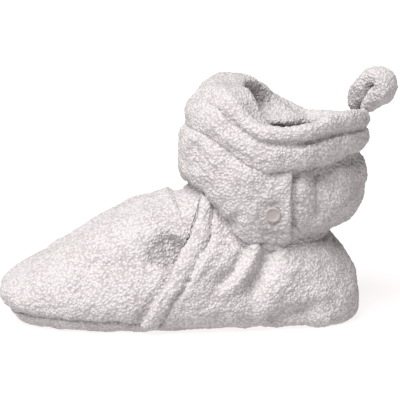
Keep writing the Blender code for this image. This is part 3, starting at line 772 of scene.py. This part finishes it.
def lining(name, rings, folds, count, columns, node, near_bottom, near_top, lap=0.0):
    """A thin layer of fleece along the inner face of a wall, following its folds and, by the lap, the
    step under the flap."""
    levels = np.linspace(0, len(rings["front"]) - 1.0, count)
    rows = whole_rings(rings, levels, columns)
    normals = normals_of(rows, around=True)
    share = np.linspace(0, 1, count)[:, None]
    way = inward(rows, normals, share, near_bottom, near_top)
    behind = smoothstep(30.0, 36.0, rows[..., 0]) * smoothstep(4.0, 12.0, -rows[..., 1])
    relief = np.minimum(folded(rows, folds), 0.0) - lap * behind
    sunk = normals * (relief * smoothstep(1.0, 0.9, share) * smoothstep(0.0, 0.1, share))[..., None]
    face = rows + way * WALL + sunk
    back = (rows + way * (WALL - LINING_THICKNESS) + sunk)[::4]
    piece = skin(name, np.concatenate([face, back[::-1]]), lining_fleece, around=True, along=True)
    nap = np.concatenate([np.ones(face.shape[:2]), np.zeros(back.shape[:2])])
    give_pile(piece, LINING_PILE, nap.ravel())
    fit(piece, node)


foot_folds = VAMP_FOLDS + PANEL_FOLDS
lining("foot_lining", UPPER_RINGS, foot_folds, 90, 240, "upper", near_bottom=0.15, near_top=0.12)

# Leg tube with its front flap
# One piece of fleece wrapped round the leg from the flap's free edge, round the front and the heel
# and in under the flap, gathered into the ankle seam and carrying the cuff. From here up a ring also
# rises in its own way on the far side, leans to the near side at the back and dips on that side.
SHAFT_RINGS = table(
    "toe_gap heel_gap width_gap front side back drop far_drop far_low toe heel lean",
    (62.4, 9.2, 7.4, 43.4, 26.8, 27.4, 1.2, 1.2, 0.15, 1.00, 1.00, 0.0),
    (59.8, 6.0, 5.0, 45.2, 28.8, 29.2, 1.2, 1.2, 0.15, 0.98, 0.98, 0.0),
    (58.4, 1.0, 2.8, 48.6, 32.6, 32.8, 1.3, 1.2, 0.10, 0.95, 0.95, 0.0),
    (58.0, -2.6, 1.6, 53.0, 38.2, 38.4, 1.2, 1.1, 0.00, 0.94, 0.94, 0.5),
    (58.4, -4.2, 1.2, 57.4, 44.2, 44.8, 1.1, 1.0, -0.10, 0.94, 0.94, 1.2),
    (59.3, -4.0, 1.5, 60.8, 48.8, 50.4, 1.0, 1.0, -0.20, 0.94, 0.94, 1.8),
    (60.8, -2.6, 2.2, 63.4, 52.2, 54.4, 1.0, 1.0, -0.30, 0.95, 0.95, 2.5),
)
FLAP_LINE = table("z x", (26.0, 34.6), (34.0, 34.2), (45.0, 33.8), (56.0, 34.4))
FLAP_STEP = 1.6
FLAP_UNDERLAP = 5.0
LEG_FOLDS = (
    (-1, -2.0, 1.9, 0.1, 0.2, ((44.9, 52), (44.6, 43), (44.4, 33))),
    (-1, -1.5, 1.2, 0.1, 0.1, ((36.0, 53), (35.6, 43), (35.6, 30))),
    (0, -2.2, 5.6, 0.3, 0.4, ((39, 50.5), (46, 50.0), (54, 52))),
    (0, -1.2, 1.8, 0.3, 0.3, ((4.8, 61), (4.2, 55), (4.8, 49))),
    (0, -1.3, 1.8, 0.0, 0.5, ((15, 33), (17, 37), (18.5, 41))),
    (0, -1.4, 2.0, 0.0, 0.5, ((27, 30), (24.5, 36), (22.5, 40))),
    (0, 1.0, 5.0, 0.4, 0.4, ((52, 45), (53, 38), (51, 34))),
    (0, 0.9, 6.0, 0.4, 0.4, ((12, 50), (18, 48), (26, 47))),
)
# Section through the flap's turned edge: how far in front of the edge, and its outer and inner face
FLAP_SECTION = table(
    "ahead outer inner",
    (-0.45, -0.45, -0.55),
    (-0.38, -0.10, -0.85),
    (-0.15, 0.15, -1.00),
    (0.30, 0.35, -1.08),
    (1.20, 0.40, -1.10),
    (3.00, 0.20, -1.10),
    (4.20, 0.00, -1.20),
    (6.00, 0.00, -1.50),
)
STUD_PLACE = (28.2, 38.6)
STUD_HOLLOW = 1.0
# The cuff's section: up its outer face, over the rolled edge and down inside
CUFF_RINGS = table(
    "toe_gap heel_gap width_gap front side back drop far_drop far_low toe heel lean dip",
    (60.4, -3.2, 1.5, 63.4, 52.2, 54.4, 1.0, 1.0, -0.30, 0.95, 0.95, 2.5, 0.0),
    (60.8, -4.6, 0.5, 67.0, 56.4, 57.2, 1.2, 1.0, -0.35, 0.95, 0.95, 3.2, 0.6),
    (62.0, -4.6, 0.9, 70.4, 60.0, 59.6, 1.5, 1.0, -0.35, 0.95, 0.95, 4.0, 2.2),
    (63.2, -4.0, 1.2, 72.2, 61.8, 60.6, 1.7, 1.0, -0.35, 0.95, 0.95, 4.6, 3.8),
    (65.0, -4.8, 0.5, 73.8, 63.8, 62.8, 1.9, 1.1, -0.35, 0.95, 0.95, 5.2, 4.0),
    (69.0, -3.2, 2.0, 76.0, 66.2, 65.8, 2.8, 1.3, -0.40, 0.96, 0.96, 6.0, 4.2),
    (76.0, -0.8, 4.4, 76.2, 66.2, 66.0, 4.5, 1.5, -0.40, 0.98, 0.98, 6.0, 4.2),
    (79.0, 1.4, 6.2, 74.6, 64.4, 64.0, 4.0, 1.5, -0.40, 1.00, 1.00, 5.5, 4.0),
    (78.0, 1.8, 6.4, 70.2, 60.4, 60.4, 2.6, 1.4, -0.35, 1.00, 1.00, 4.4, 3.0),
    (71.5, 0.8, 5.6, 66.2, 55.8, 57.0, 1.2, 1.0, -0.35, 0.98, 0.98, 3.2, 1.2),
    (64.2, 0.2, 4.6, 63.3, 52.2, 54.4, 1.0, 1.0, -0.30, 0.96, 0.96, 2.5, 0.0),
)
# In front the tube's cloth runs on up over the cuff's face, as far as the hollow under the roll
SHAFT_RINGS["dip"] = 0 * SHAFT_RINGS["lean"]
LEG_RINGS = {name: np.concatenate([SHAFT_RINGS[name], CUFF_RINGS[name][1:4]]) for name in SHAFT_RINGS}
LEG_TOP = 6.0
FACING_TOP = 8.7
FLAP_WIDTH = 6.0
LEG_GATHERS = 0.55
LEG_POINTS = 400
LEG_STEP = 0.42
# How wide the back is up to its tucked edge, how far past the flap's edge the far side starts, and
# where along the shoe the facing ends there and the back starts
BACK_WIDTH = 60.0
FAR_SIDE, FACING_ENDS, BACK_STARTS = 30.0, 22.0, 31.0
OVER_CUFF, UNDER_CUFF, TOP_SUNK = 0.5, 1.2, 1.6
LEG_THICKNESS, BACK_THICKNESS = 1.6, 0.8
LEG_RAISE = 0.4
flap_steps = np.concatenate([FLAP_SECTION["ahead"][:3], np.arange(0.1, FLAP_WIDTH, 0.4)])


def leg_row(level):
    """A row from the flap's free edge right round the leg and in under the flap, with how far each
    point lies past the free edge and how far is left before the edge comes round again."""
    points, run = traced(LEG_RINGS, level)
    edge = crossing(points, run, FLAP_LINE, False)
    whole = run[-1] - run[0]
    steps = np.concatenate([flap_steps, np.linspace(FLAP_WIDTH, whole + FLAP_UNDERLAP, LEG_POINTS)])
    return placed(points, run, -edge + steps), steps, whole - steps


def taken(grid):
    """Values of the leg's grid at the levels that each column really has."""
    part = between[..., None] if grid.ndim == 3 else between
    return grid[lower, columns_of] * (1 - part) + grid[lower + 1, columns_of] * part


# Each column ends at its own level: under the cuff at the back, up over its face in front
leg_levels, leg_rows, leg_ahead, leg_left = even_rows(leg_row, FACING_TOP, LEG_STEP)
at_back = leg_left < BACK_WIDTH
far_back = smoothstep(FACING_ENDS, BACK_STARTS, leg_rows[..., 0]) * (leg_ahead > FAR_SIDE) + at_back
facing_share = 1 - np.minimum(far_back[np.searchsorted(leg_levels, LEG_TOP)], 1.0)
tops = LEG_TOP + (FACING_TOP - LEG_TOP) * facing_share
wanted = np.linspace(0, 1, len(leg_levels))[:, None] * tops
picked = np.interp(wanted, leg_levels, np.arange(len(leg_levels)))
lower = np.minimum(picked.astype(int), len(leg_levels) - 2)
between = picked - lower
columns_of = np.arange(leg_rows.shape[1])
leg_level = np.interp(picked, np.arange(len(leg_levels)), leg_levels)
leg_rows, leg_ahead, leg_left = taken(leg_rows), taken(leg_ahead), taken(leg_left)
leg_normals = normals_of(leg_rows)
leg_climb = climbed(leg_rows)
at_flap, at_back = leg_ahead < FLAP_WIDTH, leg_left < BACK_WIDTH

# Folds and gathers, smooth round the stud and with a hollow for it
stud_away = np.hypot(leg_rows[..., 0] - STUD_PLACE[0], leg_rows[..., 2] - STUD_PLACE[1])
stud_away = stud_away + 100 * (leg_rows[..., 1] > 0) + 100 * (leg_left < 2.0)
leg_relief = folded(leg_rows, LEG_FOLDS)
leg_relief = leg_relief * smoothstep(0.0, 4.5, leg_climb) * smoothstep(6.2, 5.6, leg_level)
leg_relief += LEG_GATHERS * seam_draw(leg_rows, leg_climb, 4.0)
leg_relief = leg_relief * smoothstep(3.0, 7.0, stud_away) - STUD_HOLLOW * smoothstep(6.0, 3.0, stud_away)

# Over the cuff's face in front and under the cuff at the back, with its own top edge sunk
on_face = smoothstep(0.3, 12.0, leg_ahead) * facing_share
over_cuff = OVER_CUFF * on_face - UNDER_CUFF * (1 - on_face)
over_cuff = over_cuff * smoothstep(3.6, LEG_TOP, leg_level)
over_cuff -= TOP_SUNK * smoothstep(-0.8, 0.0, leg_level - tops) * smoothstep(0.0, 0.3, facing_share)

# The flap's section at its free edge, and the back let down by a step to pass under it
back_near = smoothstep(6.0, 12.0, -leg_rows[..., 1]) * at_back * smoothstep(0.0, 4.0, leg_climb)
tucked = 0.35 * smoothstep(1.0, -1.5, leg_left)
laid = np.where(at_back, -FLAP_STEP * back_near, 0.0) - tucked
laid = np.where(at_flap, np.interp(leg_ahead, FLAP_SECTION["ahead"], FLAP_SECTION["outer"]), laid)
under = np.where(at_back, -FLAP_STEP * back_near - BACK_THICKNESS, -LEG_THICKNESS) - tucked
under = np.where(at_flap, np.interp(leg_ahead, FLAP_SECTION["ahead"], FLAP_SECTION["inner"]), under)
under = under * (1 - 0.7 * smoothstep(5.5, 6.3, leg_level))

leg_lift = np.array([0.0, 0.0, 1.0]) * (LEG_RAISE * smoothstep(15.0, 0.0, leg_climb))[..., None]
leg_outer = leg_rows + leg_normals * (leg_relief + laid + over_cuff)[..., None] + leg_lift
leg_depth = np.minimum(leg_relief, 0) + under + np.minimum(over_cuff, 0)
leg_inner = (leg_rows + leg_normals * leg_depth[..., None] + leg_lift)[::6]
sheet("leg_tube", leg_outer, leg_inner, smoothstep(-2.0, 0.5, leg_left), "shaft")

# Ankle elastic
# The elastic's casing, a soft roll caught in the seam between the foot and the leg.
seam_roll("ankle_casing", level=UPPER_TOP, inset=1.0, lift=0.35, radius=2.0, node="shaft")

# Leg lining
# Fleece facing the leg, seen through the opening.
lining("leg_lining", SHAFT_RINGS, LEG_FOLDS, 60, 260, "shaft", 0.2, 0.15, lap=FLAP_STEP)

# Cuff
# The top edge turned down into a wide hem with a fat rolled edge, standing highest over the instep
# and tipped towards the near side at the back. The roll is pushed out, the hem drawn in below it, and
# the inner face on the far side sags into the opening.
CUFF_LEVELS = 92
CUFF_COLUMNS = 400
CUFF_RAISE = 0.6
ROLL_LEVEL, ROLL_REACH, ROLL_RISE = 4.9, 0.9, 1.4
HEM_LEVEL, HEM_REACH, HEM_DRAWN = 3.1, 0.6, 0.8
SAG_DEPTH = 10.0
SAG_WAY = np.array([0.15, -1.0, 0.0])
SAG_X, SAG_X_REACH = 33.0, 12.0
SAG_Z, SAG_Z_REACH = 60.5, 4.2

cuff_levels = np.linspace(0, len(CUFF_RINGS["front"]), CUFF_LEVELS, endpoint=False)
cuff_rows = whole_rings(CUFF_RINGS, cuff_levels, CUFF_COLUMNS, closed=True)
cuff_rows[..., 2] += CUFF_RAISE * smoothstep(10.0, 34.0, cuff_rows[..., 0])
cuff_normals = normals_of(cuff_rows, around=True, along=True)
rolled = ROLL_RISE * swell(cuff_levels, ROLL_LEVEL, ROLL_REACH)
rolled = rolled - HEM_DRAWN * swell(cuff_levels, HEM_LEVEL, HEM_REACH)
strength = smoothstep(2.0, 16.0, cuff_rows[..., 0]) * (1 - 0.6 * smoothstep(46.0, 57.0, cuff_rows[..., 0]))
cuff_rows = cuff_rows + cuff_normals * (rolled[:, None] * strength)[..., None]
sagging = SAG_DEPTH * swell(cuff_rows[..., 2], SAG_Z, SAG_Z_REACH) * smoothstep(2.0, 10.0, cuff_rows[..., 1])
sagging = sagging * swell(cuff_rows[..., 0], SAG_X, SAG_X_REACH)
sagging = sagging * (smoothstep(6.3, 7.0, cuff_levels) * smoothstep(10.6, 9.6, cuff_levels))[:, None]
cuff_rows = cuff_rows + SAG_WAY * sagging[..., None]
cuff = skin("cuff_roll", cuff_rows, outer_fleece, around=True, along=True)
give_pile(cuff, PILE_DEPTH, 1.0)
fit(cuff, "cuff")

# Pull loop
# A strip of doubled fleece folded back on itself, both ends caught in the cuff at the back. Turned
# a little, so that the slit between its two halves shows from the near side.
LOOP_PATH = table(
    "out up thick wide",
    (-1.8, 0.1, 3.4, 7.6),
    (-1.7, 2.9, 6.0, 8.4),
    (-0.6, 5.8, 7.5, 9.2),
    (1.1, 8.4, 6.4, 9.6),
    (2.9, 10.7, 5.8, 9.6),
    (5.3, 11.9, 5.6, 9.6),
    (7.7, 10.8, 5.9, 9.6),
    (8.2, 8.3, 6.4, 9.6),
    (6.5, 5.6, 7.5, 9.2),
    (4.0, 3.1, 6.0, 8.4),
    (1.8, 0.1, 3.4, 7.6),
)
LOOP_TURN = math.radians(-38)
LOOP_BASE = (60.3, 0.0, 66.95)
LOOP_TIP = 0.22
LOOP_ROWS = 90
LOOP_COLUMNS = 56
at = np.linspace(0.0, len(LOOP_PATH["out"]) - 1.0, LOOP_ROWS)
out, up, thick, wide = (through(column, at)[:, None] for column in LOOP_PATH.values())
tangent = np.stack([np.gradient(out[:, 0]), np.gradient(up[:, 0])], axis=-1)
tangent /= np.linalg.norm(tangent, axis=-1, keepdims=True)
turn = np.linspace(0.0, 2 * math.pi, LOOP_COLUMNS, endpoint=False)
across = np.sign(np.cos(turn)) * np.abs(np.cos(turn)) ** 0.7 * wide / 2
outward = np.sign(np.sin(turn)) * np.abs(np.sin(turn)) ** 0.85 * thick / 2
plane_out = out - tangent[:, 1:] * outward
plane_up = up + tangent[:, :1] * outward
loop_x = LOOP_BASE[0] + plane_out * math.cos(LOOP_TURN) - across * math.sin(LOOP_TURN)
loop_y = LOOP_BASE[1] + plane_out * math.sin(LOOP_TURN) + across * math.cos(LOOP_TURN)
loop_z = LOOP_BASE[2] + plane_up - LOOP_TIP * loop_y * smoothstep(5.0, 0.5, plane_up)
loop = skin("pull_loop_strip", np.stack([loop_x, loop_y, loop_z], axis=-1), outer_fleece)
give_pile(loop, SHORT_PILE, 1.0)
fit(loop, "pull_loop")

# Press stud
# The moulded cap of a press stud set in the flap, low and matt, with a raised rim.
# Its section from the middle out, as shares of its radius and of its height
STUD_SECTION = (
    (0.03, 0.55),
    (0.45, 0.55),
    (0.62, 0.62),
    (0.74, 0.95),
    (0.86, 1.05),
    (0.97, 0.85),
    (1.0, 0.4),
    (0.94, 0.0),
)
STUD_COLUMNS = 48
STUD_RADIUS = 2.6
STUD_HEIGHT = 0.6
STUD_SUNK = 0.5

stud_plastic, stud_tree, stud_surface, stud_place = textured("moulded_matt_plastic")
stud_fine = noise(stud_tree, stud_place, 0.9).outputs["Fac"]
set_normal(stud_tree, stud_surface, stud_fine, 0.3, 0.5)
set_colour(stud_tree, stud_surface, stud_fine, "#9A9393", "#AAA4A3")
stud_surface.inputs["Roughness"].default_value = 0.62
stud_surface.inputs["IOR"].default_value = 1.49

nearest = np.unravel_index(np.argmin(stud_away), stud_away.shape)
facing = leg_normals[nearest]
side_way = np.array([1.0, 0.0, 0.0]) - facing * facing[0]
side_way = side_way / np.linalg.norm(side_way)
turn = np.linspace(0, 2 * math.pi, STUD_COLUMNS, endpoint=False)[:, None]
circle = np.cos(turn) * side_way + np.sin(turn) * np.cross(facing, side_way)
base = leg_rows[nearest] - facing * STUD_SUNK
stud_rows = [base + facing * STUD_HEIGHT * high + circle * STUD_RADIUS * wide for wide, high in STUD_SECTION]
stud = skin("stud_cap", np.array(stud_rows), stud_plastic)
fit(stud, "stud")

# Floor
# A white floor under the shoe that glows of its own: painted light, keeping it white where the shoe's shadow
# falls and lighting the shoe from below.
glowing_floor = bpy.data.materials.new("white_paper")
glowing_floor.use_nodes = True
glowing_floor_surface = glowing_floor.node_tree.nodes["Principled BSDF"]
glowing_floor_surface.inputs["Base Color"].default_value = linear("#6A6A6A")
glowing_floor_surface.inputs["Roughness"].default_value = 0.9
# Painted light: the floor's own glow, though it is no lamp
glowing_floor_surface.inputs["Emission Color"].default_value = linear("#FFFAFA")
glowing_floor_surface.inputs["Emission Strength"].default_value = 0.88
floor_mesh = bpy.data.meshes.new("floor")
FLOOR_REACH = 12.0
floor_corners = [(FLOOR_REACH * x, FLOOR_REACH * y, 0) for x, y in ((-1, -1), (1, -1), (1, 1), (-1, 1))]
floor_mesh.from_pydata(floor_corners, [], [(0, 1, 2, 3)])
floor_mesh.materials.append(glowing_floor)
floor = bpy.data.objects.new("floor", floor_mesh)
bpy.context.scene.collection.objects.link(floor)

# Light and camera
# A broad soft key from the upper left, weak fill all round, and the photograph's viewing angle.
TARGET = (7.4, 0.0, 38.0)
AZIMUTH = math.radians(-5)
ELEVATION = math.radians(13)
DISTANCE = 900.0
FRAME_WIDTH = 130.0
SENSOR = 36.0
KEY_PLACE = (-340.0, -430.0, 880.0)
KEY_TARGET = (0.0, 0.0, 35.0)


def looking(name, data, place, target):
    """An object for a lamp or camera at a place, turned to a target, both in millimetres."""
    holder = bpy.data.objects.new(name, data)
    bpy.context.scene.collection.objects.link(holder)
    way = np.array(target, float) - np.array(place, float)
    way /= np.linalg.norm(way)
    flat = math.hypot(way[0], way[1])
    holder.location = [p * MM for p in place]
    holder.rotation_euler = (math.atan2(flat, -way[2]), 0.0, math.atan2(-way[0], way[1]))
    return holder


key = bpy.data.lights.new("key", "SUN")
key.angle = math.radians(45)
key.energy = 5.4
key.color = (1.0, 0.99, 0.985)
looking("key", key, KEY_PLACE, KEY_TARGET)

world = bpy.data.worlds.new("studio")
bpy.context.scene.world = world
world.use_nodes = True
world.node_tree.nodes["Background"].inputs["Color"].default_value = linear("#F2EEF0")
world.node_tree.nodes["Background"].inputs["Strength"].default_value = 0.2

lens = bpy.data.cameras.new("camera")
lens.sensor_width = SENSOR
lens.lens = SENSOR * DISTANCE / FRAME_WIDTH
lens.clip_start = 0.05
flat = math.cos(ELEVATION)
away = (math.sin(AZIMUTH) * flat, -math.cos(AZIMUTH) * flat, math.sin(ELEVATION))
camera = looking("camera", lens, [t + DISTANCE * a for t, a in zip(TARGET, away)], TARGET)
bpy.context.scene.camera = camera
bpy.context.scene.view_settings.view_transform = "Standard"


def corners(box):
    """A box as two plain lists of numbers."""
    return [[float(value) for value in corner] for corner in box]
